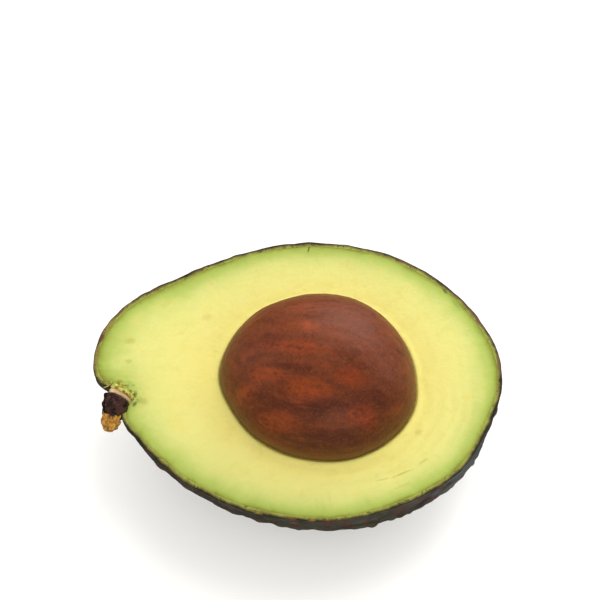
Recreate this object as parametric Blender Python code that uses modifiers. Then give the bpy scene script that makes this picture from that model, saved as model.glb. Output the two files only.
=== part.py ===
"""Half an avocado, cut lengthwise round its stone, which is still in it, with the stub of its stem.

The half lies on its round back with the cut face up. The origin is the middle of the flat spot it rests on.
+X runs along the fruit to the blossom end, the stem is at -X, and +Z points up out of the cut face.
"""

import math

import bmesh
import bpy
from mathutils import Matrix, Vector

MM = 0.001

# The fruit, measured in the cut face from the middle of the stone
BLOSSOM_REACH = 43.2 * MM
STEM_REACH = 52.6 * MM
HALF_WIDTH = 34.3 * MM
HALF_DEPTH = 35.0 * MM  # from the cut face to the round back, before it is pressed flat
FLAT_SPOT_RISE = 0.9 * MM  # how far the resting weight presses the round back in
NECK_THINNING = 0.35  # share of the depth that the fruit loses by its stem end

# How far the rim reaches at an angle from the blossom end, as a share of the plain oval of those sizes
RIM_FULLNESS = (
    (0, 0.995),
    (15, 1.01),
    (35, 1.00),
    (60, 1.00),
    (80, 1.00),
    (100, 0.985),
    (120, 0.94),
    (135, 0.93),
    (155, 0.98),
    (178, 1.00),
    (190, 0.98),
    (205, 0.94),
    (218, 0.93),
    (235, 0.96),
    (255, 0.995),
    (280, 1.00),
    (300, 0.98),
    (325, 0.985),
    (345, 0.97),
)

# The side of the fruit swells out a little past its rim below this bearing
BELLY = 1.6 * MM
BELLY_BEARING = math.radians(-52)
BELLY_NARROWNESS = 5  # the power of the cosine that it fades with to both sides

PEEL_THICKNESS = 1.0 * MM
FIT_GAP = 0.3 * MM  # between pieces that touch

STONE_LENGTH = 46.4 * MM
STONE_WIDTH = 40.2 * MM
STONE_DEPTH = 40.6 * MM
STONE_TAPER = 0.04  # how much fuller than its middle the stone is by its blossom end
STONE_TURN = math.radians(-4)

# The dimple by the stem end, and the stub that grows out of it
STEM_BEARING = 197  # degrees from the blossom end
STEM_SINK = 1.0 * MM  # the stem's middle lies this far under the cut face
DIMPLE_DEPTH = 4.0 * MM
DIMPLE_SPREAD = 2.7 * MM  # along the rim
DIMPLE_FALL = 6.0 * MM  # down the fruit's side
DIMPLE_HEADING = math.radians(37)
STEM_LENGTH = 9.0 * MM  # along the part that stands out of the dimple
STEM_ROOT = 1.6 * MM  # the part that goes through the peel into the flesh
STEM_START_HEADING = math.radians(243)
STEM_END_HEADING = math.radians(274)
STEM_RADIUS = 3.0 * MM
# The stub's thickness along its length, as shares of its length and of its radius
STEM_PROFILE = ((0, 0.88), (0.15, 0.9), (0.3, 1.0), (0.5, 0.95), (0.65, 0.75), (0.9, 0.62), (1, 0.3))

# Faceting
MERIDIANS = 56
FRUIT_RINGS = 30
STEM_CROWDING = 0.4  # how much closer than the average the meridians stand by the stem
STONE_MERIDIANS = 32
STONE_RINGS = 18
STEM_STEPS = 10
STEM_BEVEL_RESOLUTION = 4
SKIRT = 2.5 * MM  # how far the peel is modelled above the cut face, for the knife to take off
WELD = 0.01 * MM

CUT_HEIGHT = HALF_DEPTH - FLAT_SPOT_RISE

PEEL_COLOUR = (0.045, 0.05, 0.035)
FLESH_COLOUR = (0.8, 0.77, 0.3)
STONE_COLOUR = (0.15, 0.035, 0.015)
STEM_COLOUR = (0.16, 0.09, 0.045)


def clear_scene():
    for item in list(bpy.data.objects):
        bpy.data.objects.remove(item, do_unlink=True)


def collection(name, shown=True):
    group = bpy.data.collections.new(name)
    group.hide_render = not shown
    bpy.context.scene.collection.children.link(group)
    return group


def material(name, colour, roughness):
    made = bpy.data.materials.new(name)
    made.use_nodes = True
    shader = made.node_tree.nodes["Principled BSDF"]
    shader.inputs["Base Color"].default_value = (*colour, 1)
    shader.inputs["Roughness"].default_value = roughness
    shader.inputs["Metallic"].default_value = 0
    return made


def mesh_object(name, bm, group):
    mesh = bpy.data.meshes.new(name)
    bm.to_mesh(mesh)
    bm.free()
    mesh.shade_smooth()
    made = bpy.data.objects.new(name, mesh)
    group.objects.link(made)
    return made


def finish_part(part, part_material):
    part.data.materials.clear()
    part.data.materials.append(part_material)
    return part


def as_cutter(cutter):
    cutter.hide_render = True
    cutter.display_type = "WIRE"
    return cutter


def cut(part, cutter):
    boolean = part.modifiers.new("Cut by " + cutter.name, "BOOLEAN")
    boolean.operation = "DIFFERENCE"
    boolean.solver = "EXACT"
    boolean.object = cutter


def rim_fullness(degrees):
    """The rim's reach at this angle, on a smooth closed curve through the points of RIM_FULLNESS."""
    count = len(RIM_FULLNESS)
    degrees %= 360
    here = max(i for i in range(count) if RIM_FULLNESS[i][0] <= degrees)

    def knot(i):
        turns, place = divmod(i, count)
        angle, fullness = RIM_FULLNESS[place]
        return angle + 360 * turns, fullness

    (a0, f0), (a1, f1), (a2, f2), (a3, f3) = (knot(here + i) for i in (-1, 0, 1, 2))
    span = a2 - a1
    t = (degrees - a1) / span
    slope_1 = (f2 - f0) / (a2 - a0) * span
    slope_2 = (f3 - f1) / (a3 - a1) * span
    return (
        (2 * t**3 - 3 * t**2 + 1) * f1
        + (t**3 - 2 * t**2 + t) * slope_1
        + (3 * t**2 - 2 * t**3) * f2
        + (t**3 - t**2) * slope_2
    )


def fruit_point(angle, level, up):
    """A point on the fruit without its dimple. level and up are 1 and 0 at the rim, 0 and -1 at the back."""
    reach = rim_fullness(math.degrees(angle)) * level
    belly = BELLY * max(0, math.cos(angle - BELLY_BEARING)) ** BELLY_NARROWNESS
    belly *= 4 * max(0, -up) * (1 + up)
    x = (reach * (BLOSSOM_REACH if math.cos(angle) > 0 else STEM_REACH) + belly) * math.cos(angle)
    y = (reach * HALF_WIDTH + belly) * math.sin(angle)
    neck = max(0, -x / STEM_REACH)
    z = up * HALF_DEPTH * (1 - NECK_THINNING * neck**3)
    return Vector((x, y, CUT_HEIGHT + z))


def dimple_top():
    """Where the stem's middle would leave the fruit if it had no dimple."""
    return fruit_point(math.radians(STEM_BEARING), 1, 0) - Vector((0, 0, STEM_SINK))


def dimple_push():
    return Vector((math.cos(DIMPLE_HEADING), math.sin(DIMPLE_HEADING), 0)) * DIMPLE_DEPTH


def dimpled(point):
    away = point - dimple_top()
    share = (away.x**2 + away.y**2) / DIMPLE_SPREAD**2 + away.z**2 / DIMPLE_FALL**2
    return point + dimple_push() * math.exp(-share / 2)


def fruit_body(inset):
    """The whole fruit's surface, with its resting spot pressed flat, moved in by inset."""
    bm = bmesh.new()
    bmesh.ops.create_uvsphere(bm, u_segments=MERIDIANS, v_segments=FRUIT_RINGS, radius=1)
    stem_angle = math.radians(STEM_BEARING)
    for v in bm.verts:
        level = math.hypot(v.co.x, v.co.y)
        turn = math.atan2(v.co.y, v.co.x)
        crowded = turn - STEM_CROWDING * math.sin(turn - stem_angle)
        v.co = dimpled(fruit_point(crowded, level, v.co.z))
        v.co.z = max(v.co.z, 0)
    bmesh.ops.triangulate(bm, faces=bm.faces)
    bm.normal_update()
    for v in bm.verts:
        v.co -= v.normal * inset
    return bm


def stone_body(growth):
    bm = bmesh.new()
    bmesh.ops.create_uvsphere(bm, u_segments=STONE_MERIDIANS, v_segments=STONE_RINGS, radius=1)
    for v in bm.verts:
        fuller = 1 + STONE_TAPER * v.co.x
        v.co.x *= STONE_LENGTH / 2 + growth
        v.co.y *= (STONE_WIDTH / 2 + growth) * fuller
        v.co.z *= (STONE_DEPTH / 2 + growth) * fuller
    bmesh.ops.rotate(bm, verts=bm.verts, cent=(0, 0, 0), matrix=Matrix.Rotation(STONE_TURN, 3, "Z"))
    bmesh.ops.translate(bm, verts=bm.verts, vec=(0, 0, CUT_HEIGHT))
    return bm


def profile_share(along):
    """The stem's thickness at this share of its length, as a share of its radius."""
    for (start, low), (end, high) in zip(STEM_PROFILE, STEM_PROFILE[1:]):
        if along <= end:
            return low + (high - low) * (along - start) / (end - start)
    return STEM_PROFILE[-1][1]


def stem_route(extra):
    """(point, radius) along the middle of the stem from its root, with extra all round and at both ends."""
    start = Vector((math.cos(STEM_START_HEADING), math.sin(STEM_START_HEADING), 0))
    point = dimple_top() + dimple_push() - start * (STEM_ROOT + extra)
    whole = STEM_ROOT + STEM_LENGTH + 2 * extra
    route = []
    for step in range(STEM_STEPS + 1):
        along = step / STEM_STEPS
        route.append((point.copy(), STEM_RADIUS * profile_share(along) + extra))
        heading = STEM_START_HEADING + (STEM_END_HEADING - STEM_START_HEADING) * along
        point += Vector((math.cos(heading), math.sin(heading), 0)) * whole / STEM_STEPS
    return route


def stem_object(name, extra, group):
    """A bent round stub, as a mesh, so that it can also be a cutter."""
    curve = bpy.data.curves.new(name + " route", "CURVE")
    curve.dimensions = "3D"
    curve.bevel_depth = 1
    curve.bevel_resolution = STEM_BEVEL_RESOLUTION
    curve.use_fill_caps = True
    spline = curve.splines.new("POLY")
    route = stem_route(extra)
    spline.points.add(len(route) - 1)
    for place, (point, radius) in zip(spline.points, route):
        place.co = (*point, 1)
        place.radius = radius
    guide = bpy.data.objects.new(name + " guide", curve)
    group.objects.link(guide)
    graph = bpy.context.evaluated_depsgraph_get()
    bm = bmesh.new()
    bm.from_mesh(bpy.data.meshes.new_from_object(guide.evaluated_get(graph)))
    bpy.data.objects.remove(guide)
    bmesh.ops.remove_doubles(bm, verts=bm.verts, dist=WELD)
    return mesh_object(name, bm, group)


def knife(group):
    """The block that takes away everything above the cut face."""
    bm = bmesh.new()
    bmesh.ops.create_cube(bm, size=2)
    room = 2 * max(STEM_REACH, BLOSSOM_REACH, HALF_WIDTH, HALF_DEPTH)
    bmesh.ops.scale(bm, verts=bm.verts, vec=(room, room, room))
    bmesh.ops.translate(bm, verts=bm.verts, vec=(0, 0, CUT_HEIGHT + room))
    return as_cutter(mesh_object("knife", bm, group))


def peel(group, blade, stem_room):
    """A bowl of even thickness, left a little tall and then cut off level by the knife."""
    bm = fruit_body(0)
    everything = bm.verts[:] + bm.edges[:] + bm.faces[:]
    top = Vector((0, 0, CUT_HEIGHT + SKIRT))
    bmesh.ops.bisect_plane(bm, geom=everything, plane_co=top, plane_no=(0, 0, 1), clear_outer=True)
    part = mesh_object("peel", bm, group)
    wall = part.modifiers.new("Wall", "SOLIDIFY")
    wall.thickness = PEEL_THICKNESS
    wall.offset = -1
    cut(part, blade)
    cut(part, stem_room)
    return finish_part(part, material("peel", PEEL_COLOUR, 0.5))


def flesh(group, blade, stone_seat, stem_room):
    part = mesh_object("flesh", fruit_body(PEEL_THICKNESS + FIT_GAP), group)
    cut(part, blade)
    cut(part, stone_seat)
    cut(part, stem_room)
    return finish_part(part, material("flesh", FLESH_COLOUR, 0.45))


def main():
    clear_scene()
    parts = collection("avocado half")
    cutters = collection("cutters", shown=False)
    blade = knife(cutters)
    stone_seat = as_cutter(mesh_object("stone seat", stone_body(FIT_GAP), cutters))
    stem_room = as_cutter(stem_object("stem room", FIT_GAP, cutters))
    peel(parts, blade, stem_room)
    flesh(parts, blade, stone_seat, stem_room)
    stone = mesh_object("stone", stone_body(0), parts)
    finish_part(stone, material("stone", STONE_COLOUR, 0.35))
    stem = stem_object("stem", 0, parts)
    finish_part(stem, material("stem", STEM_COLOUR, 0.8))


main()
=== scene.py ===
"""An avocado half on its round back, with its stone in it and the stub of its stem, on a pale table."""

import math
import random

import bmesh
import bpy
from mathutils import Matrix, Vector, kdtree, noise


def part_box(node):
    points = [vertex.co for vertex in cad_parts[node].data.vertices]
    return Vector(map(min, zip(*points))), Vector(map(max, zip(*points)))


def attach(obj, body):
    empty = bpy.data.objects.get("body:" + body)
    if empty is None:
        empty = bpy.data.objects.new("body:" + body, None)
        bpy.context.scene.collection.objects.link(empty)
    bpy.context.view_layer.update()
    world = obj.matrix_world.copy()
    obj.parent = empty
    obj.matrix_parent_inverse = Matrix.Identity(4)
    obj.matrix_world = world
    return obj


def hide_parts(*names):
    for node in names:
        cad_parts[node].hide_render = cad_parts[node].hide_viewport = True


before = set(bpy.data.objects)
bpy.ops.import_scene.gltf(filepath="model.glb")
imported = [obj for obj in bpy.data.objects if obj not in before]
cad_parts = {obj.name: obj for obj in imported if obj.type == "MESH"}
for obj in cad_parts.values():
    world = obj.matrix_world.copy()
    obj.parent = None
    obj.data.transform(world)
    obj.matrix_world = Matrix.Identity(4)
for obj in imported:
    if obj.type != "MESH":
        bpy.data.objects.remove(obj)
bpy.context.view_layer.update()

MM = 0.001
SEED = 11
SIDE_LIGHT = 1.0  # light on the skin, which looks sideways and down
LEVEL_LIGHT = 1.45  # light on a level face; a white one under a light of 1 looks just white
STONE_SIDE_LIGHT = 1.3  # light on the flesh beside the stone, which shades it

noise.seed_set(SEED)  # noise_vector otherwise starts from the clock

# Sizes that the frame gives
PEEL_LOW, PEEL_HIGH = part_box("peel")
STONE_LOW, STONE_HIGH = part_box("stone")
CUT_HEIGHT = PEEL_HIGH.z
BLOSSOM_REACH = PEEL_HIGH.x
STEM_REACH = -PEEL_LOW.x
HALF_WIDTH = (PEEL_HIGH.y - PEEL_LOW.y) / 2

# The rest of the form that the CAD part was made to
FLAT_SPOT_RISE = 0.9 * MM
HALF_DEPTH = CUT_HEIGHT + FLAT_SPOT_RISE
NECK_THINNING = 0.35
STONE_TURN = math.radians(-4)
STONE_TAPER = 0.04
STEM_BEARING = math.radians(197)

# The rim's reach at an angle from the blossom end, as a share of the plain oval of those sizes
RIM_FULLNESS = (
    (0, 0.995), (15, 1.01), (35, 1.00), (60, 1.00), (80, 1.00), (100, 0.985), (120, 0.94), (135, 0.93),
    (155, 0.98), (178, 1.00), (190, 0.98), (205, 0.94), (218, 0.93), (235, 0.96), (255, 0.995),
    (280, 1.00), (300, 0.98), (325, 0.985), (345, 0.97),
)

# The side of the fruit swells out a little past its rim below this bearing
BELLY = 1.6 * MM
BELLY_BEARING = math.radians(-52)
BELLY_NARROWNESS = 5

# The stone's reach likewise, as a share of its own plain oval
STONE_FULLNESS = (
    (5, 1.00), (35, 0.99), (65, 1.00), (95, 0.99), (120, 0.97), (140, 0.985), (165, 0.97), (185, 0.99),
    (205, 0.965), (230, 0.985), (270, 0.985), (300, 1.00), (320, 1.01), (345, 1.03),
)

# The dimple at the stem, which pushes the skin in
DIMPLE_PUSH = Vector((math.cos(math.radians(37)), math.sin(math.radians(37)), 0)) * 4 * MM
DIMPLE_SPREAD = 2.7 * MM
DIMPLE_FALL = 6 * MM
STEM_SINK = 1 * MM

PEEL_THICKNESS = 1.0 * MM
WART_SPACING = 4.6 * MM
WART_TRIES = 30000
WART_RADIUS = (0.9, 1.9)  # mm
WART_HEIGHT = (0.15, 0.5)  # mm
CALM_DEPTH = 6 * MM  # the skin is smoother this far down from the rim
CALM_BY_STEM = 7 * MM

PEEL_GAP = 0.3 * MM
RIM_OVERLAP = 0.06 * MM  # how far the cut face runs under the peel's edge
SEAT_OVERLAP = 0.35 * MM  # how far it runs under the stone
SIDE_ANGLES = (75, 60, 45, 30, 15, 4)  # how far down the side each ring of the flesh's back lies
SEAT_RINGS = ((1.5, 1.0), (6, 0.95), (12, 0.8), (17, 0.5), (20, 0.2))  # depth in mm, share of its reach
YELLOW_DEPTH = 12  # mm from the peel where the flesh is yellowest
USUAL_FLESH = 14  # mm of flesh between peel and stone
FLOW_RADIUS = 30  # mm from the stone's middle to where streaks have their stated length

# How finely each piece is divided. Squares are counted along one side of the cube that a ball is made
# from, and an even number puts a row of them on the rim.
PEEL_SQUARES = 166
LINING_SQUARES = 40
STONE_SQUARES = 96
FLESH_MERIDIANS = 480
FLESH_RINGS = 64

CAMERA_TURN = math.radians(4.6)
CAMERA_RISE = math.radians(70)
CAMERA_AWAY = 600 * MM
CAMERA_LENS = 152.6  # mm, on a sensor 36 mm wide
CAMERA_AIM = Vector((-5.52, 19.23, 0)) * MM  # from the stone's middle, in the cut face
TABLE_REACH = 3  # m


# ---------------------------------------------------------------- shader maths

class Value:
    """A number that changes over a surface, so that shader maths reads as sums."""

    def __init__(self, finish, socket):
        self.finish, self.socket = finish, socket

    def _math(self, operation, *values):
        return self.finish.node("ShaderNodeMath", {"operation": operation}, *values)

    def __add__(self, other):
        return self._math("ADD", self, other)

    def __sub__(self, other):
        return self._math("SUBTRACT", self, other)

    def __rsub__(self, other):
        return self._math("SUBTRACT", other, self)

    def __mul__(self, other):
        return self._math("MULTIPLY", self, other)

    __radd__ = __add__
    __rmul__ = __mul__


class Finish:
    """A procedural material, built up node by node round one Principled shader."""

    def __init__(self, name, **constants):
        self.material = bpy.data.materials.new(name)
        self.material.use_nodes = True
        self.tree = self.material.node_tree
        self.shader = self.tree.nodes["Principled BSDF"]
        for socket, value in constants.items():
            self.set(socket.replace("_", " "), value)
        self.place = self.node("ShaderNodeTexCoord", output="Object")

    def node(self, kind, settings=None, *values, output=0, **named):
        """Adds one node: its settings first, then what its sockets get, in order or by name."""
        made = self.tree.nodes.new(kind)
        for setting, value in (settings or {}).items():
            if setting == "stops":
                stops = made.color_ramp.elements
                while len(stops) < len(value):
                    stops.new(0.5)
                for stop, (position, colour) in zip(stops, value):
                    stop.position, stop.color = position, (*colour, 1)
            else:
                setattr(made, setting, value)
        sockets = list(zip((s for s in made.inputs if s.enabled), values))
        sockets += [(made.inputs[name.replace("_", " ")], value) for name, value in named.items()]
        for socket, value in sockets:
            self.feed(socket, value)
        return Value(self, made.outputs[output])

    def feed(self, socket, value):
        if isinstance(value, Value):
            self.tree.links.new(value.socket, socket)
        elif socket.type == "RGBA":
            socket.default_value = (*value, 1)
        else:
            socket.default_value = value

    def set(self, socket, value):
        self.feed(self.shader.inputs[socket], value)

    def noise(self, size, detail=3, roughness=0.5, distortion=0, at=None):
        """Soft noise from 0 to 1 with blobs of about this size in metres."""
        return self.node(
            "ShaderNodeTexNoise", {}, Vector=at or self.place, Scale=1 / size,
            Detail=detail, Roughness=roughness, Distortion=distortion,
        )

    def cells(self, size):
        """The distance, in cell sizes, to the nearest of points scattered this far apart."""
        return self.node("ShaderNodeTexVoronoi", {}, Vector=self.place, Scale=1 / size, output="Distance")

    def stretched(self, stretch=(1, 1, 1), turn=(0, 0, 0), centre=(0, 0, 0)):
        """Object coordinates, centred, turned and stretched for a pattern that has a direction."""
        return self.node(
            "ShaderNodeMapping", {"vector_type": "TEXTURE"}, Vector=self.place,
            Location=centre, Rotation=turn, Scale=stretch,
        )

    def between(self, value, low, high):
        """0 below low, 1 above high and a smooth step between them; low may be the greater."""
        return self.node(
            "ShaderNodeMapRange", {"interpolation_type": "SMOOTHSTEP"}, value, low, high, 0.0, 1.0
        )

    def mark(self, x, y, half_length, half_width, degrees, wobble, tall=None):
        """1 in the middle of an oval mark and 0 at its edge.

        Its place and sizes are in mm, from the stone's middle in the cut face.
        """
        here = self.stretched(
            (half_length * MM, half_width * MM, (tall or max(half_width, 0.5)) * MM),
            (0, 0, math.radians(degrees)), (x * MM, y * MM, CUT_HEIGHT),
        )
        away = self.node("ShaderNodeVectorMath", {"operation": "LENGTH"}, here, output="Value")
        return self.between(away + (wobble - 0.5) * 1.1, 1.0, 0.3)

    def marked(self, colour, marks, wobble, within=None, tall=None):
        """The colour with a table of marks laid over it, kept within a mask where one is given."""
        for x, y, half_length, half_width, degrees, strength, tint in marks:
            mark = self.mark(x, y, half_length, half_width, degrees, wobble, tall)
            if within:
                mark = mark * within
            colour = self.mix(mark * strength, colour, seen(tint))
        return colour

    def flow(self, along, across, detail=3, roughness=0.55):
        """Noise that follows the outline of the cut face, with streaks of this length and width in mm."""
        round_it = FLOW_RADIUS / along
        here = self.node(
            "ShaderNodeVectorMath", {"operation": "MULTIPLY"},
            self.node("ShaderNodeAttribute", {"attribute_name": "flow"}, output="Vector"),
            (round_it, round_it, 1 / across), output="Vector",
        )
        return self.node("ShaderNodeTexNoise", {}, Vector=here, Scale=1.0, Detail=detail, Roughness=roughness)

    def attribute(self, name):
        """A number that the piece's mesh carries at each of its points."""
        return self.node("ShaderNodeAttribute", {"attribute_name": name}, output="Fac")

    def mix(self, factor, first, second):
        """The first colour where factor is 0 and the second where it is 1."""
        return self.node("ShaderNodeMix", {"data_type": "RGBA"}, factor, first, second, output=2)

    def ramp(self, value, stops):
        return self.node("ShaderNodeValToRGB", {"stops": stops}, value, output="Color")

    def bump(self, *layers):
        """Layers of (height in metres, value), all in one Bump node on the normal."""
        height = 0
        for depth, value in layers:
            height = value * depth + height
        self.set("Normal", self.node(
            "ShaderNodeBump", {}, Strength=1.0, Distance=1.0, Height=height, output="Normal"
        ))


def seen(code, light=LEVEL_LIGHT):
    """The surface colour that looks like RRGGBB under this much light."""
    shares = [int(code[i:i + 2], 16) / 255 for i in (0, 2, 4)]
    linear = [s / 12.92 if s <= 0.04045 else ((s + 0.055) / 1.055) ** 2.4 for s in shares]
    return tuple(s / light for s in linear)


def skin_seen(code):
    return seen(code, SIDE_LIGHT)


# ---------------------------------------------------------------- the fruit's form

def smooth(share):
    share = min(max(share, 0), 1)
    return share * share * (3 - 2 * share)


def fullness(table, degrees):
    """The reach at this angle, on a smooth closed curve through the points of a table of fullness."""
    count = len(table)
    degrees = (degrees - table[0][0]) % 360 + table[0][0]
    here = max(i for i in range(count) if table[i][0] <= degrees)

    def knot(i):
        turns, place = divmod(i, count)
        angle, share = table[place]
        return angle + 360 * turns, share

    (a0, f0), (a1, f1), (a2, f2), (a3, f3) = (knot(here + i) for i in (-1, 0, 1, 2))
    span = a2 - a1
    t = (degrees - a1) / span
    slope_1 = (f2 - f0) / (a2 - a0) * span
    slope_2 = (f3 - f1) / (a3 - a1) * span
    return (
        (2 * t**3 - 3 * t**2 + 1) * f1 + (t**3 - 2 * t**2 + t) * slope_1
        + (3 * t**2 - 2 * t**3) * f2 + (t**3 - t**2) * slope_2
    )


def plain_fruit(angle, level, up):
    """A point on the fruit without its dimple. level and up are 1 and 0 at the rim, 0 and -1 at the back."""
    reach = fullness(RIM_FULLNESS, math.degrees(angle)) * level
    belly = BELLY * max(0, math.cos(angle - BELLY_BEARING)) ** BELLY_NARROWNESS
    belly *= 4 * max(0, -up) * (1 + up)
    x = (reach * (BLOSSOM_REACH if math.cos(angle) > 0 else STEM_REACH) + belly) * math.cos(angle)
    y = (reach * HALF_WIDTH + belly) * math.sin(angle)
    neck = max(0, -x / STEM_REACH)
    return Vector((x, y, CUT_HEIGHT + up * HALF_DEPTH * (1 - NECK_THINNING * neck**3)))


DIMPLE_TOP = plain_fruit(STEM_BEARING, 1, 0) - Vector((0, 0, STEM_SINK))
STEM_ROOT = DIMPLE_TOP + DIMPLE_PUSH


def fruit_point(angle, level, up):
    point = plain_fruit(angle, level, up)
    away = point - DIMPLE_TOP
    share = (away.x**2 + away.y**2) / DIMPLE_SPREAD**2 + away.z**2 / DIMPLE_FALL**2
    return point + DIMPLE_PUSH * math.exp(-share / 2)


def level_normal(direction):
    return Vector((direction.x, direction.y, 0)).normalized()


def ball(squares):
    """A ball of even squares, made from a cube."""
    bm = bmesh.new()
    bmesh.ops.create_cube(bm, size=2)
    bmesh.ops.subdivide_edges(bm, edges=bm.edges, cuts=squares - 1, use_grid_fill=True)
    for v in bm.verts:
        v.co = Vector([math.tan(share * math.pi / 4) for share in v.co]).normalized()
    return bm


def bowl(squares):
    """The lower half of the fruit's plain skin, open at the rim."""
    bm = ball(squares)
    bmesh.ops.bisect_plane(
        bm, geom=bm.verts[:] + bm.edges[:] + bm.faces[:], dist=1e-4,
        plane_co=(0, 0, 0), plane_no=(0, 0, 1), clear_outer=True,
    )
    for v in bm.verts:
        level = math.hypot(v.co.x, v.co.y)
        v.co = fruit_point(math.atan2(v.co.y, v.co.x), level, v.co.z)
    bm.normal_update()
    return bm


def rim_loop(bm):
    return [e for e in bm.edges if e.is_boundary]


def piece(name, bm, finish, node=None):
    """Makes the finished bmesh a piece of the object, in place of a CAD node."""
    bmesh.ops.recalc_face_normals(bm, faces=bm.faces)
    mesh = bpy.data.meshes.new(name)
    bm.to_mesh(mesh)
    bm.free()
    mesh.shade_smooth()
    mesh.materials.append(finish.material)
    made = bpy.data.objects.new(name, mesh)
    bpy.context.scene.collection.objects.link(made)
    if node:
        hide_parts(node)
    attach(made, "root")
    return made


def loop_edges(bm, row):
    return [bm.edges.get((row[i - 1], row[i])) for i in range(len(row))]


def lofted(bm, rings):
    """Closes a skin over rings of equally many points, and returns its rows of vertices."""
    made = bmesh.ops.create_circle(bm, segments=len(rings[0]), radius=1)
    row = sorted(made["verts"], key=lambda v: math.atan2(v.co.y, v.co.x))
    rows = []
    for ring in rings:
        if rows:
            grown = bmesh.ops.extrude_edge_only(bm, edges=loop_edges(bm, row))
            fresh = {tuple(v.co): v for v in grown["geom"] if isinstance(v, bmesh.types.BMVert)}
            row = [fresh[tuple(v.co)] for v in row]
        for v, point in zip(row, ring):
            v.co = point
        rows.append(row)
    for end in (rows[0], rows[-1]):
        bmesh.ops.contextual_create(bm, geom=loop_edges(bm, end))
    return rows


# ---------------------------------------------------------------- peel

def skin_spots(count, draw):
    """Places anywhere on the plain skin, drawn at random."""
    spots = []
    for _ in range(count):
        up = -draw.random()
        spots.append(fruit_point(draw.uniform(-math.pi, math.pi), math.sqrt(1 - up * up), up))
    return spots


def scattered(points, spacing):
    """The points in turn, without those closer than spacing to one already taken."""
    taken = {}
    for point in points:
        cell = tuple(int(math.floor(c / spacing)) for c in point)
        around = [
            near for dx in (-1, 0, 1) for dy in (-1, 0, 1) for dz in (-1, 0, 1)
            for near in taken.get((cell[0] + dx, cell[1] + dy, cell[2] + dz), ())
        ]
        if all((point - near).length > spacing for near in around):
            taken.setdefault(cell, []).append(point)
    return [point for points in taken.values() for point in points]


def along_fruit(point):
    """Space squeezed along the fruit's length and shaken a little, where warts are round."""
    shaken = point + noise.noise_vector(point / (1.6 * MM)) * 0.35 * MM
    return Vector((shaken.x * 0.8, shaken.y, shaken.z))


class Warts:
    """Round knobs of skin scattered over the fruit, each with its own size and tint."""

    def __init__(self, points, draw):
        self.knobs = [
            (point, draw.uniform(*WART_RADIUS) * MM, draw.uniform(*WART_HEIGHT) * MM, draw.random())
            for point in scattered(points, WART_SPACING)
        ]
        self.tree = kdtree.KDTree(len(self.knobs))
        for i, (point, *_) in enumerate(self.knobs):
            self.tree.insert(along_fruit(point), i)
        self.tree.balance()

    def at(self, point):
        """(height in metres, share of the knob's own height, tint) of the skin here."""
        height, share, tint = 0, 0, 0
        for _, i, distance in self.tree.find_n(along_fruit(point), 2):
            _, radius, tall, own_tint = self.knobs[i]
            rise = smooth(1.15 - distance / radius) if distance < 1.15 * radius else 0
            if rise * tall > height:
                height, share, tint = rise * tall, rise, own_tint
        return height, share, tint


def lumps(point):
    """The slow swells and the long low ridges of the skin, in metres."""
    swell = noise.noise(point / (6.5 * MM)) * 0.6 + noise.noise(point / (3.1 * MM)) * 0.4
    lengthwise = Vector((point.x / 9, point.y / 3.2, point.z / 3.2)) / MM
    ridge = 1 - 2 * abs(noise.noise(lengthwise + Vector((7, 3, 1))))
    grain = noise.noise(point / (1.3 * MM)) * 0.08 + noise.noise(point / (0.6 * MM)) * 0.03
    return (swell + ridge * 0.2 + grain) * MM


def make_peel():
    bm = bowl(PEEL_SQUARES)
    draw = random.Random(SEED)
    wart_share = bm.verts.layers.float.new("wart")
    wart_tint = bm.verts.layers.float.new("tint")
    across = bm.verts.layers.float.new("across")
    hollow = bm.verts.layers.float.new("hollow")
    warts = Warts(skin_spots(WART_TRIES, draw), draw)
    edges = rim_loop(bm)
    rim = {v: level_normal(v.normal) for e in edges for v in e.verts}
    plain = {v: (v.co.copy(), rim.get(v, v.normal.copy())) for v in bm.verts}
    for v, (place, outwards) in plain.items():
        height, v[wart_share], v[wart_tint] = warts.at(place)
        low = lumps(place)
        v[hollow] = low / MM
        relief = 0.4 + 0.6 * smooth((CUT_HEIGHT - place.z) / CALM_DEPTH)
        relief *= smooth((place - STEM_ROOT).length / CALM_BY_STEM)
        v.co = place + outwards * (height + low) * relief
        v.co.z = CUT_HEIGHT - 0.1 * MM if v in rim else max(v.co.z, 0)

    # The cut edge, from the skin inwards
    starts = {
        v.co.to_tuple(7): (v.co.copy(), plain[v][0] - outwards * PEEL_THICKNESS)
        for v, outwards in rim.items()
    }
    for share in (0.1, 0.3, 0.55, 0.8, 0.97):
        made = bmesh.ops.extrude_edge_only(bm, edges=edges)["geom"]
        edges = [g for g in made if isinstance(g, bmesh.types.BMEdge)]
        moved = {}
        for v in [g for g in made if isinstance(g, bmesh.types.BMVert)]:
            outside, inside = starts[v.co.to_tuple(7)]
            v.co = outside.lerp(inside, share)
            v.co.z = CUT_HEIGHT - 0.02 * MM * (1 - share) + noise.noise(v.co / (1.1 * MM)) * 0.04 * MM
            v[across] = share
            moved[v.co.to_tuple(7)] = (outside, inside)
        starts = moved

    # The lining
    lining = bowl(LINING_SQUARES)
    for v in lining.verts:
        inside = v.normal if v.co.z < CUT_HEIGHT - 0.01 * MM else level_normal(v.normal)
        v.co -= inside * PEEL_THICKNESS
        v.co.z = min(max(v.co.z, PEEL_THICKNESS), CUT_HEIGHT)
    bmesh.ops.reverse_faces(lining, faces=lining.faces)
    spare = bpy.data.meshes.new("lining")
    lining.to_mesh(spare)
    lining.free()
    known = set(bm.verts)
    bm.from_mesh(spare)
    bpy.data.meshes.remove(spare)
    for v in bm.verts:
        if v not in known:
            v[across] = 1
    bmesh.ops.bridge_loops(bm, edges=rim_loop(bm))
    return piece("peel_skin", bm, peel_finish(), "peel")


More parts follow.
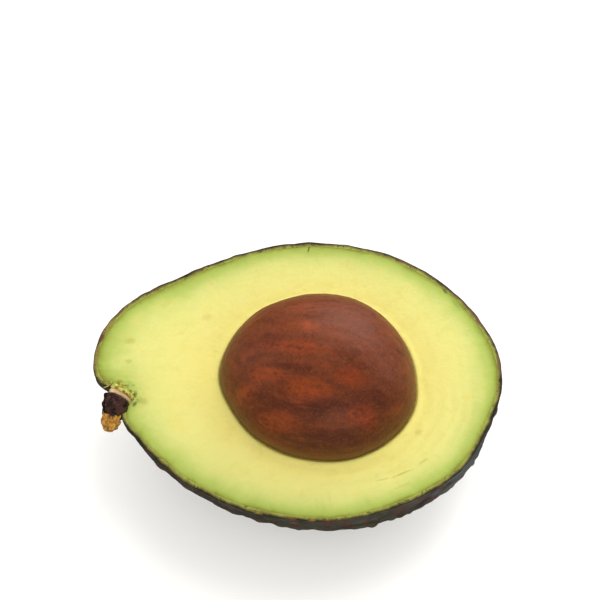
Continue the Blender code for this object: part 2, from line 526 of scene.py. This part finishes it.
# Small marks in the peel's cut edge: x, y, half length and half width in mm, turn, strength and colour
RIM_MARKS = (
    (36.0, 19.0, 7.0, 1.4, -52, 0.85, "7d4e36"), (42.3, 7.5, 5.0, 1.0, -80, 0.75, "85663a"),
    (42.4, -6.0, 4.0, 1.0, 80, 0.6, "80702a"), (32.6, -23.8, 2.0, 1.4, 40, 1.0, "5c2c12"),
    (-11.0, -33.8, 1.6, 1.2, 5, 0.9, "a9962a"), (-3.5, -34.4, 1.8, 1.2, 0, 0.9, "8d5a1c"),
    (1.5, -34.4, 1.3, 1.0, 0, 0.8, "a87a20"), (12.0, -33.4, 7.0, 1.5, 8, 0.7, "5a4a18"),
    (-49.8, 9.5, 3.6, 1.3, 62, 0.75, "a8983e"), (-52.0, 1.0, 5.0, 1.2, 88, 0.8, "98823c"),
    (-51.0, -6.0, 2.6, 1.2, 115, 0.85, "8c6426"), (-46.0, 15.0, 4.0, 1.1, 45, 0.6, "98903a"),
)


def peel_finish():
    finish = Finish("peel skin", Specular_IOR_Level=0.5)
    wart = finish.attribute("wart")
    tint = finish.attribute("tint")
    across = finish.attribute("across")
    hollow = finish.attribute("hollow")
    broad = finish.noise(16 * MM, 2)
    cloud = finish.noise(5 * MM, 3, 0.55)
    mottle = finish.noise(2.0 * MM, 4, 0.6)
    fine = finish.noise(0.45 * MM, 3, 0.6)

    ground = finish.mix(finish.between(broad, 0.36, 0.64), skin_seen("3c3f31"), skin_seen("4b4037"))
    ground = finish.mix(finish.between(cloud, 0.45, 0.7) * 0.7, ground, skin_seen("4e5149"))
    ground = finish.mix(finish.between(mottle, 0.5, 0.3) * 0.5, ground, skin_seen("303124"))
    # Painted shade: the skin is darker in the hollows between its swells
    ground = finish.mix(finish.between(hollow, 0.1, -0.45) * 0.6, ground, skin_seen("22231c"))
    ground = finish.mix(finish.between(mottle + cloud, 1.05, 1.3) * 0.6, ground, skin_seen("484e2a"))
    ground = finish.mix(finish.between(fine, 0.52, 0.75) * 0.25, ground, skin_seen("66624f"))
    tip = finish.ramp(tint, (
        (0.0, skin_seen("444431")), (0.3, skin_seen("4c4332")), (0.45, skin_seen("553329")),
        (0.8, skin_seen("5f2e26")), (0.95, skin_seen("664428")),
    ))
    on_knob = finish.between(wart, 0.15, 0.8) * finish.between(fine + wart, 0.6, 1.1)
    skin = finish.mix(on_knob * 0.9, ground, tip)
    skin = finish.mix(finish.between(wart + (fine - 0.5) * 0.6, 0.93, 1.08) * 0.35, skin, skin_seen("8a7350"))

    # A painted blue-grey sheen on the raised parts of the shoulder to the right of the stone, standing in for
    # the reflection of the bright table
    painted_sheen = finish.mark(38, -20, 22, 12, 50, cloud * 0.5 + mottle * 0.5, tall=18)
    skin = finish.mix(painted_sheen * finish.between(hollow, -0.3, 0.4) * 0.3, skin, skin_seen("707883"))

    # Pale pores
    pores = finish.cells(5.5 * MM)
    pore = finish.between(pores + (fine - 0.5) * 0.06, 0.085, 0.045)
    skin = finish.mix(pore * 0.7, skin, skin_seen("746b2c"))
    skin = finish.mix(finish.between(pores, 0.04, 0.015) * 0.7, skin, skin_seen("9c8a44"))

    # The cut edge: a dark outer line of uneven width, then olive, with tan and red-brown stretches
    where = finish.noise(13 * MM, 2, 0.5)
    uneven = finish.noise(5 * MM, 2, 0.5)
    ragged = across + (finish.noise(1.2 * MM, 3, 0.6) - 0.5) * 0.8 + (uneven - 0.5) * 0.9
    edge = finish.ramp(ragged, (
        (0.0, seen("26251a")), (0.22, seen("3b351c")), (0.4, seen("665a24")), (0.6, seen("8b8132")),
        (0.85, seen("a09f40")), (1.0, seen("aeb84c")),
    ))
    rusty = finish.between(where, 0.56, 0.66) * finish.between(ragged, 0.95, 0.45)
    edge = finish.mix(rusty * 0.75, edge, seen("754c2c"))
    edge = finish.marked(edge, RIM_MARKS, finish.noise(1.1 * MM, 3, 0.6))
    speck = finish.between(finish.noise(0.7 * MM, 2), 0.58, 0.68)
    edge = finish.mix(speck * 0.7, edge, seen("3a3016"))
    edge = finish.mix(finish.between(across, 0.3, 0.05) * 0.8, edge, seen("2c281c"))
    finish.set("Base Color", finish.mix(finish.between(across, 0.0, 0.08), skin, edge))
    finish.set("Roughness", 0.24 + mottle * 0.22 + fine * 0.1)
    finish.bump(
        (0.16 * MM, finish.noise(1.0 * MM, 4, 0.6)),
        (0.03 * MM, finish.noise(0.28 * MM, 2)),
        (0.1 * MM, pore),
    )
    return finish


# ---------------------------------------------------------------- flesh

def stone_halves():
    """The stone's half length, half width and half depth."""
    return (STONE_HIGH - STONE_LOW) / 2


def stone_reach(angle):
    """The stone's reach in the cut face at this angle."""
    half_length, half_width = stone_halves()[:2]
    turned = angle - STONE_TURN
    plain = 1 / math.hypot(math.cos(turned) / half_length, math.sin(turned) / half_width)
    fuller = 1 + STONE_TAPER * plain * math.cos(turned) / half_length
    plain = 1 / math.hypot(math.cos(turned) / half_length, math.sin(turned) / half_width / fuller)
    return plain * fullness(STONE_FULLNESS, math.degrees(angle))


def make_flesh():
    bm = bmesh.new()
    from_peel = bm.verts.layers.float.new("from_peel")
    from_stone = bm.verts.layers.float.new("from_stone")
    green_depth = bm.verts.layers.float.new("green_depth")
    flow = bm.verts.layers.float_vector.new("flow")
    angles = [2 * math.pi * i / FLESH_MERIDIANS for i in range(FLESH_MERIDIANS)]
    outline = [fruit_point(a, 1, 0) for a in angles]
    outwards = []
    for i in range(FLESH_MERIDIANS):
        run = outline[(i + 1) % FLESH_MERIDIANS] - outline[i - 1]
        outwards.append(Vector((run.y, -run.x, 0)).normalized())
    edge = [p - n * (PEEL_THICKNESS - RIM_OVERLAP) for p, n in zip(outline, outwards)]
    headings = [math.atan2(p.y, p.x) for p in edge]
    up = Vector((0, 0, CUT_HEIGHT))
    seat = [
        Vector((math.cos(h), math.sin(h), 0)) * (stone_reach(h) - SEAT_OVERLAP) + up
        for h in headings
    ]

    # From the middle of the back, up the side, over the cut face and down into the stone's seat
    rings = []
    for degrees in SIDE_ANGLES:
        turn = math.radians(degrees)
        ring = []
        for a, n in zip(angles, outwards):
            inward = Vector((-n.x * math.cos(turn), -n.y * math.cos(turn), math.sin(turn)))
            skin = fruit_point(a, math.cos(turn), -math.sin(turn))
            ring.append(skin + inward * (PEEL_THICKNESS + PEEL_GAP))
        rings.append(ring)
    lowest = sum(p.z for p in rings[0]) / FLESH_MERIDIANS
    rings[0] = [Vector((p.x, p.y, lowest)) for p in rings[0]]
    below = len(rings)
    for step in range(FLESH_RINGS + 1):
        share = step / FLESH_RINGS
        share = 0.5 * share + 0.5 * smooth(share)
        rings.append([p.lerp(q, share) for p, q in zip(edge, seat)])
    for depth, share in SEAT_RINGS:
        rings.append([Vector((q.x * share, q.y * share, CUT_HEIGHT - depth * MM)) for q in seat])
    rows = lofted(bm, rings)

    tree = kdtree.KDTree(FLESH_MERIDIANS)
    for i, p in enumerate(edge):
        tree.insert(p, i)
    tree.balance()
    for v in bm.verts:
        v[from_peel] = v[green_depth] = YELLOW_DEPTH
    for row in rows[below:below + FLESH_RINGS + 1]:
        for v in row:
            heading = math.atan2(v.co.y, v.co.x)
            v[from_peel] = tree.find(v.co)[2] / MM
            v[from_stone] = (math.hypot(v.co.x, v.co.y) - stone_reach(heading)) / MM
            v[green_depth] = v[from_peel] * (USUAL_FLESH / max(v[from_peel] + v[from_stone], 1)) ** 0.8
            v[flow] = (math.cos(heading), math.sin(heading), v[from_peel])
            v.co.z = CUT_HEIGHT + cut_face_height(v.co, v[from_peel], v[from_stone], heading)
    return piece("flesh_cut", bm, flesh_finish(), "flesh")


def cut_face_height(point, from_peel, from_stone, heading):
    """How far the cut face stands above or below level, in metres."""
    slow = noise.noise(point / (14 * MM)) * 0.22
    grain = noise.noise(point / (2.5 * MM)) * 0.05 + noise.noise(point / (0.9 * MM)) * 0.02
    lip = math.exp(-((from_stone - 0.5) / 0.8) ** 2) * 0.2
    lip -= math.exp(-(max(from_stone, 0) / 0.15) ** 2) * 0.12
    round_off = -0.04 * math.exp(-(from_peel / 0.35) ** 2)
    # Knife ridges, which run round the lower right of the stone
    right = max(0, math.cos(heading - math.radians(-45))) ** 3
    ridge = math.sin(from_stone * 2.2 + noise.noise(point / (8 * MM)) * 3) * 0.06 * right
    off = (point - STEM_ROOT).length / MM
    torn = math.exp(-(off / 2.6) ** 2) * (0.8 + noise.noise(point / (0.9 * MM)) * 0.9)
    return (slow * smooth(from_peel / 3) + grain + lip + round_off + ridge + torn) * MM


# Small marks in the cut face, in the same order
FLESH_MARKS = (
    (28.4, 24.4, 1.3, 0.6, -48, 0.85, "4f6a24"), (26.6, 26.6, 2.6, 0.7, -40, 0.4, "7f9a3a"),
    (31.2, 21.0, 2.2, 0.6, -52, 0.35, "86a03c"), (-4.5, 32.3, 1.3, 0.3, 80, 0.8, "4d5a20"),
    (24.4, -11.2, 1.3, 1.0, 30, 0.35, "d3b562"), (-36.8, 16.0, 2.0, 1.3, 40, 0.3, "dac960"),
    (-27.0, 13.1, 1.7, 1.2, 10, 0.3, "e0c566"), (-44.4, 5.8, 1.7, 1.1, 10, 0.45, "c3ba4a"),
    (-44.3, 0.8, 1.1, 0.9, 0, 0.45, "bdb944"), (31.4, -23.6, 1.3, 0.8, 40, 0.9, "5a2f14"),
    (21.4, -21.2, 3.2, 0.3, 28, 0.5, "aaa040"), (17.0, -23.0, 2.4, 0.25, 18, 0.35, "bcb24c"),
    (26.0, -18.0, 2.2, 0.5, 40, 0.3, "bdb24e"), (22.0, -24.0, 3.5, 0.5, 24, 0.3, "c3bb55"),
    (-42.2, -7.6, 1.7, 0.9, 70, 0.8, "5a4c14"), (-41.8, -9.6, 1.0, 0.6, 60, 0.7, "564a16"),
    (-44.0, -5.2, 1.0, 0.3, 10, 0.8, "5a4c12"), (-43.2, -6.4, 0.6, 0.5, 0, 0.7, "7a6f1c"),
    (-45.6, -4.4, 1.0, 0.6, 110, 0.6, "b5a52a"), (-40.4, -8.6, 2.4, 1.2, -20, 0.35, "a8a33e"),
    (-42.5, -5.0, 0.8, 0.3, 40, 0.6, "6f6418"), (-47.2, -5.6, 1.2, 0.4, 150, 0.5, "b09a28"),
)


def flesh_finish():
    finish = Finish("flesh cut", Specular_IOR_Level=0.35, Subsurface_Weight=0.12,
                    Subsurface_Radius=(1.0, 0.7, 0.25), Subsurface_Scale=2 * MM)
    from_peel = finish.attribute("from_peel")
    from_stone = finish.attribute("from_stone")
    blotch = finish.noise(9 * MM, 3, 0.5)
    patch = finish.noise(4 * MM, 4, 0.55, 0.4)
    slanting = finish.stretched((1.8, 1, 1), (0, 0, math.radians(35)))
    swirl = finish.noise(2.6 * MM, 4, 0.6, 1.2, at=slanting)
    spoke = finish.flow(1.3, 9)
    fine = finish.noise(0.9 * MM, 3, 0.55)

    # The knife drew its strokes round the lower right of the stone
    strokes = finish.mark(20, -15, 32, 19, -20, patch * 0.5 + 0.25, tall=60)
    knife = (finish.flow(22, 1.3) - 0.5) * strokes + 0.5

    depth = finish.attribute("green_depth")
    depth = depth + (blotch - 0.5) * 2.6 * finish.between(from_peel, 0.3, 3)
    depth = depth + (patch - 0.5) * 1.4 + (spoke - 0.5) * 1.4 * finish.between(from_peel, 0.5, 3)
    colour = finish.ramp(depth * (1 / YELLOW_DEPTH), (
        (0.0, seen("8f962c")), (0.04, seen("a9b748")), (0.08, seen("bac95a")), (0.15, seen("c6d568")),
        (0.23, seen("d8df76")), (0.34, seen("e8e884")), (0.5, seen("f4ee88")), (0.72, seen("faf08a")),
        (1.0, seen("fdef86")),
    ))
    # Painted light: the flesh beside the stone is painted lighter and yellower to make up for the shade the
    # stone casts on it
    painted_light_by_stone = finish.between(from_stone + (fine - 0.5) * 0.8, 6, 0.3)
    colour = finish.mix(painted_light_by_stone * 0.7, colour, seen("fbec80", STONE_SIDE_LIGHT))
    # Painted shade: a darker olive rim in the crevice where the flesh meets the stone
    painted_contact_shade = finish.between(from_stone + (patch - 0.5) * 0.3, 0.45, 0.05)
    colour = finish.mix(painted_contact_shade * 0.7, colour, seen("ab9136"))
    inside = finish.between(from_peel, 1.5, 5)
    yolk = finish.between(knife * 0.5 + patch * 0.5, 0.5, 0.66)
    colour = finish.mix(yolk * inside * 0.45, colour, seen("f2da6c"))
    pale = finish.between(swirl, 0.5, 0.75)
    colour = finish.mix(pale * inside * 0.25, colour, seen("fcf7a2"))
    lime = finish.between(swirl, 0.46, 0.3)
    colour = finish.mix(lime * inside * 0.3, colour, seen("e4e47c"))
    olive = finish.between(spoke * 0.7 + patch * 0.3, 0.54, 0.72) * finish.between(from_peel, 9, 2)
    colour = finish.mix(olive * 0.25, colour, seen("bcbc52"))
    colour = finish.mix(finish.between(fine, 0.6, 0.8) * 0.15, colour, seen("fdf6ac"))
    finish.set("Base Color", finish.marked(colour, FLESH_MARKS, finish.noise(1.1 * MM, 3, 0.6)))
    finish.set("Roughness", 0.34 + blotch * 0.2)
    finish.bump((0.06 * MM, fine), (0.2 * MM, knife), (0.05 * MM, spoke), (0.08 * MM, swirl))
    return finish


# ---------------------------------------------------------------- stone

def make_stone():
    bm = ball(STONE_SQUARES)
    half_length, half_width, half_depth = stone_halves()
    centre = Vector((0, 0, CUT_HEIGHT))
    turn = Matrix.Rotation(STONE_TURN, 3, "Z")
    for v in bm.verts:
        way = v.co.copy()
        fuller = 1 + STONE_TAPER * way.x
        place = Vector((way.x * half_length, way.y * half_width * fuller, way.z * half_depth * fuller))
        swell = noise.noise(place / (13 * MM)) * 0.45 * smooth(abs(place.z) / (6 * MM))
        wrinkle = noise.noise(Vector((place.x / 9, place.y / 1.8, place.z / 1.8)) / MM) * 0.10
        pit = noise.noise(place / (1.4 * MM)) * 0.05
        place = turn @ (place + way * (swell + wrinkle + pit - 0.15) * MM)
        wider = fullness(STONE_FULLNESS, math.degrees(math.atan2(place.y, place.x)))
        v.co = centre + Vector((place.x * wider, place.y * wider, place.z))
    return piece("stone_coat", bm, stone_finish(), "stone")


# Soft marks on the stone, in the same order: first the glowing patches, then the dark streaks
STONE_MARKS = (
    (-1.2, -8.4, 8.4, 3.6, -4, 0.9, "a84408"), (-11.4, -5.0, 6.0, 3.2, -8, 0.85, "a0440e"),
    (-15.8, -8.0, 4.0, 2.8, 10, 0.85, "a04612"), (-7.0, -14.4, 8.0, 2.4, -6, 0.8, "9c420e"),
    (10.5, -12.4, 5.4, 2.6, 4, 0.9, "a03e0c"), (7.5, -5.4, 6.0, 3.0, 0, 0.8, "983a0c"),
    (-2.8, 6.4, 4.4, 2.2, -10, 0.8, "b0522c"), (-5.0, 1.0, 11.0, 2.6, -3, 0.7, "a44218"),
    (12.0, 8.0, 7.0, 4.0, 20, 0.6, "70341c"), (-4.0, 12.0, 7.0, 2.4, 4, 0.5, "a4522e"),
    (-6.0, -3.6, 6.5, 1.2, -5, 0.7, "5a1f10"), (1.7, -11.4, 11.0, 1.9, 3, 0.85, "50200c"),
    (-10.4, 3.4, 6.5, 1.8, 8, 0.5, "64281a"), (3.7, -17.2, 12.0, 1.6, 2, 0.5, "582414"),
    (14.5, -7.6, 4.0, 1.6, -10, 0.6, "521e10"), (-14.0, -1.0, 5.0, 1.3, 10, 0.5, "5f2814"),
)


def stone_finish():
    finish = Finish("stone coat", Specular_IOR_Level=0.22)
    along = finish.stretched((2.6, 1, 1), (0, 0, STONE_TURN), (0, 0, CUT_HEIGHT))
    broad = finish.noise(12 * MM, 2, 0.5, 0.3)
    patch = finish.noise(4.2 * MM, 5, 0.6, 0.4, at=along)
    streak = finish.noise(2.2 * MM, 5, 0.6, 0.4, at=along)
    fine = finish.noise(0.5 * MM, 3, 0.6)
    grain = finish.noise(1.2 * MM, 4, 0.65)

    # Painted light, partly the coat's own tone: browner on the near side, and lighter and redder on the far
    # side, where the light from behind falls
    across = finish.node("ShaderNodeSeparateXYZ", {}, along, output="Y")
    side = finish.between(across + (broad - 0.5) * 8 * MM, -13 * MM, 9 * MM)
    colour = finish.mix(side, seen("6a3010"), seen("803e20"))
    colour = finish.mix(finish.between(patch, 0.5, 0.72) * 0.5, colour, seen("9c4418"))
    colour = finish.mix(finish.between(patch, 0.48, 0.28) * 0.45, colour, seen("54200f"))
    wobble = streak * 1.6 + patch * 1.2 - 0.9
    broken = finish.between(grain * 0.3 + streak * 0.7, 0.22, 0.6)
    colour = finish.marked(colour, STONE_MARKS, wobble, broken, tall=80)
    dark = finish.between(streak + (grain - 0.5) * 0.2, 0.52, 0.26)
    colour = finish.mix(dark * 0.4, colour, seen("4c1b09"))
    colour = finish.mix(finish.between(grain, 0.5, 0.75) * 0.3, colour, seen("98481c"))
    colour = finish.mix(finish.between(grain, 0.48, 0.25) * 0.28, colour, seen("4a1b08"))
    colour = finish.mix(finish.between(fine, 0.54, 0.72) * 0.35, colour, seen("a0552c"))
    colour = finish.mix(finish.between(fine, 0.46, 0.28) * 0.35, colour, seen("421606"))

    # Flesh clings to the coat near the cut, and a painted reflection of the yellow flesh: olive up to 5 mm
    # above the cut
    height = finish.node("ShaderNodeSeparateXYZ", {}, finish.place, output="Z")
    clinging_and_reflection = finish.between(height + (grain - 0.5) * 3 * MM, CUT_HEIGHT + 5 * MM, CUT_HEIGHT)
    colour = finish.mix(clinging_and_reflection * 0.6, colour, seen("82682a"))
    finish.set("Base Color", colour)
    finish.set("Roughness", 0.36 + broad * 0.14 + fine * 0.1)
    finish.bump((0.06 * MM, grain), (0.03 * MM, fine))
    return finish


# ---------------------------------------------------------------- stem

STEM_START, STEM_END = math.radians(243), math.radians(274)
STEM_LENGTH = 9 * MM


def stem_route(share):
    """The middle of the stub at this share of its length, and its heading there."""
    point = STEM_ROOT.copy()
    steps = 24
    for step in range(steps):
        heading = STEM_START + (STEM_END - STEM_START) * share * step / steps
        point += Vector((math.cos(heading), math.sin(heading), 0)) * STEM_LENGTH * share / steps
    heading = STEM_START + (STEM_END - STEM_START) * share
    return point, Vector((math.cos(heading), math.sin(heading), 0))


def stub(stations, sides, relief):
    """A closed stub along the stem. relief gives what to add to its radius at a point, in mm."""
    bm = bmesh.new()
    rings = []
    for share, radius in stations:
        point, heading = stem_route(max(share, 0))
        point = point + heading * min(share, 0) * STEM_LENGTH
        side = Vector((-heading.y, heading.x, 0))
        ring = []
        for i in range(sides):
            turn = 2 * math.pi * i / sides
            out = side * math.cos(turn) + Vector((0, 0, 1)) * math.sin(turn)
            base = point + out * radius * MM
            ring.append(base + out * relief(base) * MM)
        rings.append(ring)
    lofted(bm, rings)
    return bm


def read_profile(profile, share):
    """The radius at this share of the stub's length, smooth from each point of the profile to the next."""
    for (s0, r0), (s1, r1) in zip(profile, profile[1:]):
        if share <= s1:
            return r0 + (r1 - r0) * smooth((share - s0) / (s1 - s0))
    return profile[-1][1]


def evenly(profile, steps):
    """The profile read at even steps from end to end."""
    start, end = profile[0][0], profile[-1][0]
    shares = [start + (end - start) * i / steps for i in range(steps + 1)]
    return [(share, read_profile(profile, share)) for share in shares]


# Profiles along the stub: (share of its length, radius in mm)
COLLAR = ((-0.09, 1.9), (-0.04, 2.5), (0.0, 2.9), (0.05, 3.05), (0.1, 2.95), (0.15, 2.2))
BARK = (
    (0.1, 2.3), (0.13, 3.0), (0.18, 3.35), (0.26, 3.1), (0.38, 3.1), (0.5, 2.8), (0.6, 2.45),
    (0.68, 1.9), (0.72, 1.2),
)
BROKEN_END = ((0.5, 1.8), (0.6, 2.15), (0.72, 2.15), (0.85, 1.95), (0.95, 1.55), (1.02, 1.0), (1.05, 0.5))
TORN_RING = ((-0.16, 2.0), (-0.1, 3.2), (-0.05, 3.55), (0.0, 3.35), (0.02, 2.7))


def layered_relief(*layers):
    """A relief that adds up layers of noise: (size in mm, height in mm)."""
    return lambda point: sum(noise.noise(point / (size * MM)) * height for size, height in layers)


def splintered(point):
    """The relief of the broken end, with short splinters across the stem."""
    splinter = noise.noise(Vector((point.x / 0.7, point.y / 1.3, point.z / 0.7)) / MM) * 0.5
    return splinter + noise.noise(point / (1.4 * MM)) * 0.5


def make_stem():
    collar = stub(evenly(COLLAR, 16), 96, layered_relief((1.5, 0.15)))
    piece("stem_collar", collar, collar_finish(), "stem")
    bark = stub(evenly(BARK, 56), 120, layered_relief((2.3, 0.7), (0.9, 0.25)))
    piece("stem_bark", bark, bark_finish(), "stem")
    broken_end = stub(evenly(BROKEN_END, 44), 110, splintered)
    piece("stem_broken_end", broken_end, broken_finish(), "stem")
    torn_ring = stub(evenly(TORN_RING, 24), 120, layered_relief((1.5, 0.9), (0.6, 0.25)))
    piece("flesh_torn_ring", torn_ring, shred_finish(), "flesh")


SHREDS = 46
SHRED_STEPS = 5
SHRED_SIDES = 7


def make_shreds():
    """Torn threads of flesh round the stem's root."""
    draw = random.Random(SEED + 1)
    bm = bmesh.new()
    out = Vector((math.cos(STEM_START), math.sin(STEM_START), 0))
    side = Vector((-out.y, out.x, 0))
    for _ in range(SHREDS):
        across = draw.uniform(-3.4, 3.6)
        foot = STEM_ROOT + side * across * MM - out * draw.uniform(0.2, 1.7) * MM
        foot.z = CUT_HEIGHT + draw.uniform(-0.3, 0.5) * MM
        way = out * draw.uniform(-0.5, 1) + side * draw.uniform(-0.9, 0.9)
        way.z += draw.uniform(0.05, 0.8)
        way.normalize()
        curl = Vector((draw.uniform(-1, 1), draw.uniform(-1, 1), draw.uniform(-1.2, 0))) * 0.35
        length, thick = draw.uniform(0.9, 2.2) * MM, draw.uniform(0.16, 0.34) * MM
        rings = []
        for step in range(SHRED_STEPS + 1):
            share = step / SHRED_STEPS
            centre = foot + (way * share + curl * share * share) * length
            flat = way.cross(Vector((0.3, 0.2, 1))).normalized()
            tall = way.cross(flat)
            radius = thick * (1 - 0.85 * share)
            rings.append([
                centre + (flat * math.cos(t) + tall * math.sin(t) * 0.6) * radius
                for t in (2 * math.pi * k / SHRED_SIDES for k in range(SHRED_SIDES))
            ])
        lofted(bm, rings)
    return piece("flesh_shreds", bm, shred_finish(), "flesh")


def shred_finish():
    finish = Finish("torn flesh", Roughness=0.5, Specular_IOR_Level=0.25)
    colour = finish.mix(finish.between(finish.noise(1.2 * MM, 2), 0.4, 0.6), seen("c9cc58"), seen("efe478"))
    colour = finish.mix(finish.between(finish.noise(1.5 * MM, 2), 0.48, 0.62) * 0.9, colour, seen("9a8c26"))
    colour = finish.mix(finish.between(finish.noise(1.2 * MM, 3), 0.56, 0.68) * 0.8, colour, seen("5a4a12"))
    finish.set("Base Color", colour)
    return finish


def collar_finish():
    finish = Finish("stem collar", Roughness=0.55)
    fine = finish.noise(0.6 * MM, 3)
    broad = finish.noise(2.0 * MM, 2)
    colour = finish.mix(finish.between(broad, 0.4, 0.65), seen("eebd8a"), seen("fbdcae"))
    colour = finish.mix(finish.between(fine, 0.55, 0.75) * 0.5, colour, seen("c8945c"))
    finish.set("Base Color", colour)
    finish.bump((0.05 * MM, fine))
    return finish


def bark_finish():
    finish = Finish("stem bark", Specular_IOR_Level=0.5)
    fine = finish.noise(0.5 * MM, 4, 0.6)
    broad = finish.noise(1.7 * MM, 3, 0.5)
    colour = finish.mix(finish.between(broad, 0.35, 0.65), seen("200c09"), seen("52291f"))
    colour = finish.mix(finish.between(fine, 0.56, 0.75) * 0.5, colour, seen("96705f"))
    finish.set("Base Color", colour)
    finish.set("Roughness", 0.28 + broad * 0.3)
    finish.bump((0.12 * MM, fine))
    return finish


def broken_finish():
    finish = Finish("stem broken end", Roughness=0.75, Specular_IOR_Level=0.2)
    fibre = finish.noise(0.5 * MM, 4, 0.6, at=finish.stretched((1, 1.8, 1)))
    broad = finish.noise(1.3 * MM, 3)
    colour = finish.mix(finish.between(broad, 0.38, 0.62), seen("93601e"), seen("d0963c"))
    colour = finish.mix(finish.between(fibre, 0.5, 0.68) * 0.8, colour, seen("eebe6a"))
    colour = finish.mix(finish.between(fibre, 0.44, 0.32) * 0.9, colour, seen("47290a"))
    finish.set("Base Color", colour)
    finish.bump((0.2 * MM, fibre))
    return finish


# ---------------------------------------------------------------- table, light and camera

def make_floor():
    bm = bmesh.new()
    bmesh.ops.create_grid(bm, x_segments=1, y_segments=1, size=TABLE_REACH)
    mesh = bpy.data.meshes.new("table")
    bm.to_mesh(mesh)
    bm.free()
    finish = Finish("table top", Base_Color=(0.91, 0.9, 0.87), Roughness=0.7, Specular_IOR_Level=0.1,
                    Emission_Color=(1, 0.98, 0.93), Emission_Strength=0.1)
    mesh.materials.append(finish.material)
    floor = bpy.data.objects.new("table", mesh)
    bpy.context.scene.collection.objects.link(floor)
    floor.visible_glossy = False


def aimed(item, place, target):
    item.location = place
    item.rotation_euler = (Vector(target) - Vector(place)).to_track_quat("-Z", "Y").to_euler()
    bpy.context.scene.collection.objects.link(item)
    return item


def area_light(name, place, size, brightness, colour=(1, 1, 1), mirrored=True):
    """A round soft light; mirrored says whether glossy surfaces show it."""
    light = bpy.data.lights.new(name, "AREA")
    light.shape, light.size, light.color = "DISK", size, colour
    light.energy = brightness * (math.pi * size / 2) ** 2
    made = aimed(bpy.data.objects.new(name, light), place, (0, 0, CUT_HEIGHT / 2))
    made.visible_glossy = mirrored
    return made


def make_studio():
    scene = bpy.context.scene
    scene.view_settings.view_transform = "Standard"
    world = bpy.data.worlds.new("studio")
    world.use_nodes = True
    sky = world.node_tree.nodes["Background"]
    sky.inputs["Color"].default_value = (1, 1, 1, 1)
    sky.inputs["Strength"].default_value = 1.0
    scene.world = world
    world.cycles_visibility.glossy = False
    area_light("overhead", (0.12, 0.3, 0.78), 0.4, 6, mirrored=False)
    area_light("backdrop glow", (0.35, 0.9, 0.3), 0.9, 3.2)
    area_light("left card", (-0.8, 0.1, 0.3), 0.7, 0.8)
    area_light("front card", (0.25, -0.8, 0.3), 0.45, 2.2)
    area_light("right card", (0.8, 0.27, 0.16), 0.35, 2.5, (0.88, 0.93, 1))


def make_camera():
    target = CAMERA_AIM + Vector((0, 0, CUT_HEIGHT))
    level = math.cos(CAMERA_RISE)
    back = Vector((math.sin(CAMERA_TURN) * level, -math.cos(CAMERA_TURN) * level, math.sin(CAMERA_RISE)))
    lens = bpy.data.cameras.new("camera")
    lens.lens, lens.sensor_width = CAMERA_LENS, 36
    lens.clip_start, lens.clip_end = 0.01, 20
    camera = aimed(bpy.data.objects.new("camera", lens), target + back * CAMERA_AWAY, target)
    bpy.context.scene.camera = camera


make_camera()
make_studio()
make_floor()
make_peel()
make_flesh()
make_stone()
make_stem()
make_shreds()
